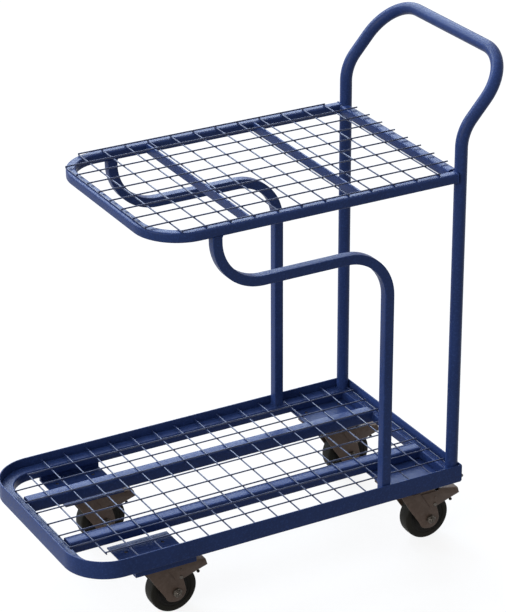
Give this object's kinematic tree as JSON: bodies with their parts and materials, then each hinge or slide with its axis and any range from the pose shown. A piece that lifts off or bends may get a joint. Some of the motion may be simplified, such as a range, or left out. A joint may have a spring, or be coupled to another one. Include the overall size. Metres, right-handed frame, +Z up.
{
  "type": "order picking trolley",
  "caption": "Two-deck order picking trolley in blue tube with wire mesh decks, a rimmed base, S-shaped stays, a bent push handle and braked swivel castors.",
  "frame": {"origin": "on the floor under the middle of the trolley's outer box", "axes": "+X forward, away from the push handle; +Y to the trolley's left; +Z up"},
  "size_m": [0.9494, 0.46, 1.0366],
  "materials": {
    "frame_paint": "satin powder coat",
    "mesh_paint": "satin powder coat",
    "castor_metal": "dark brown-grey satin",
    "zinc_steel": "zinc plated",
    "tyre_rubber": "matte",
    "hub_plastic": "matte"
  },
  "bodies": {
    "frame": {"base_mesh": "mesh_paint", "castor_bolts": "zinc_steel", "castor_nuts": "zinc_steel", "castor_risers": "frame_paint", "castor_top_plates": "castor_metal", "front_left_mount_plate": "frame_paint", "front_right_mount_plate": "frame_paint", "handle_tube": "frame_paint", "king_pins": "zinc_steel", "ledge_tube": "frame_paint", "left_base_bar": "frame_paint", "left_stay_tube": "frame_paint", "rear_cross_member": "frame_paint", "rear_left_mount_plate": "frame_paint", "rear_right_mount_plate": "frame_paint", "right_base_bar": "frame_paint", "right_stay_tube": "frame_paint", "rim_band": "frame_paint", "shelf_frame_tube": "frame_paint", "shelf_front_rib": "frame_paint", "shelf_mesh": "mesh_paint", "shelf_rear_rail": "frame_paint", "shelf_rear_rib": "frame_paint", "swivel_bearings": "zinc_steel"},
    "front_left_fork_body": {"front_left_fork": "castor_metal", "front_left_axle_bolt": "zinc_steel", "front_left_axle_nut": "zinc_steel", "front_left_pedal_rivets": "zinc_steel"},
    "front_left_wheel_body": {"front_left_tyre": "tyre_rubber", "front_left_hub": "hub_plastic", "front_left_bush": "zinc_steel"},
    "front_left_pedal_body": {"front_left_brake_pedal": "castor_metal", "front_left_brake_shoe": "tyre_rubber"},
    "front_right_fork_body": {"front_right_fork": "castor_metal", "front_right_axle_bolt": "zinc_steel", "front_right_axle_nut": "zinc_steel", "front_right_pedal_rivets": "zinc_steel"},
    "front_right_wheel_body": {"front_right_tyre": "tyre_rubber", "front_right_hub": "hub_plastic", "front_right_bush": "zinc_steel"},
    "front_right_pedal_body": {"front_right_brake_pedal": "castor_metal", "front_right_brake_shoe": "tyre_rubber"},
    "rear_left_fork_body": {"rear_left_fork": "castor_metal", "rear_left_axle_bolt": "zinc_steel", "rear_left_axle_nut": "zinc_steel", "rear_left_pedal_rivets": "zinc_steel"},
    "rear_left_wheel_body": {"rear_left_tyre": "tyre_rubber", "rear_left_hub": "hub_plastic", "rear_left_bush": "zinc_steel"},
    "rear_left_pedal_body": {"rear_left_brake_pedal": "castor_metal", "rear_left_brake_shoe": "tyre_rubber"},
    "rear_right_fork_body": {"rear_right_fork": "castor_metal", "rear_right_axle_bolt": "zinc_steel", "rear_right_axle_nut": "zinc_steel", "rear_right_pedal_rivets": "zinc_steel"},
    "rear_right_wheel_body": {"rear_right_tyre": "tyre_rubber", "rear_right_hub": "hub_plastic", "rear_right_bush": "zinc_steel"},
    "rear_right_pedal_body": {"rear_right_brake_pedal": "castor_metal", "rear_right_brake_shoe": "tyre_rubber"}
  },
  "joints": [
    {"name": "front_left_swivel", "type": "hinge", "parent": "frame", "child": "front_left_fork_body", "pos_m": [0.29628, 0.1558, 0.12], "axis": [0, 0, 1], "continuous": true},
    {"name": "front_left_roll", "type": "hinge", "parent": "front_left_fork_body", "child": "front_left_wheel_body", "pos_m": [0.25678, 0.1558, 0.05], "axis": [0, 1, 0], "continuous": true},
    {"name": "front_left_brake", "type": "hinge", "parent": "front_left_fork_body", "child": "front_left_pedal_body", "pos_m": [0.24828, 0.1558, 0.0825], "axis": [0, -1, 0], "range_deg": [0, 8]},
    {"name": "front_right_swivel", "type": "hinge", "parent": "frame", "child": "front_right_fork_body", "pos_m": [0.29628, -0.1558, 0.12], "axis": [0, 0, 1], "continuous": true},
    {"name": "front_right_roll", "type": "hinge", "parent": "front_right_fork_body", "child": "front_right_wheel_body", "pos_m": [0.25678, -0.1558, 0.05], "axis": [0, 1, 0], "continuous": true},
    {"name": "front_right_brake", "type": "hinge", "parent": "front_right_fork_body", "child": "front_right_pedal_body", "pos_m": [0.24828, -0.1558, 0.0825], "axis": [0, -1, 0], "range_deg": [0, 8]},
    {"name": "rear_left_swivel", "type": "hinge", "parent": "frame", "child": "rear_left_fork_body", "pos_m": [-0.28582, 0.1558, 0.12], "axis": [0, 0, 1], "continuous": true},
    {"name": "rear_left_roll", "type": "hinge", "parent": "rear_left_fork_body", "child": "rear_left_wheel_body", "pos_m": [-0.32532, 0.1558, 0.05], "axis": [0, 1, 0], "continuous": true},
    {"name": "rear_left_brake", "type": "hinge", "parent": "rear_left_fork_body", "child": "rear_left_pedal_body", "pos_m": [-0.33382, 0.1558, 0.0825], "axis": [0, -1, 0], "range_deg": [0, 8]},
    {"name": "rear_right_swivel", "type": "hinge", "parent": "frame", "child": "rear_right_fork_body", "pos_m": [-0.28582, -0.1558, 0.12], "axis": [0, 0, 1], "continuous": true},
    {"name": "rear_right_roll", "type": "hinge", "parent": "rear_right_fork_body", "child": "rear_right_wheel_body", "pos_m": [-0.32532, -0.1558, 0.05], "axis": [0, 1, 0], "continuous": true},
    {"name": "rear_right_brake", "type": "hinge", "parent": "rear_right_fork_body", "child": "rear_right_pedal_body", "pos_m": [-0.33382, -0.1558, 0.0825], "axis": [0, -1, 0], "range_deg": [0, 8]}
  ]
}
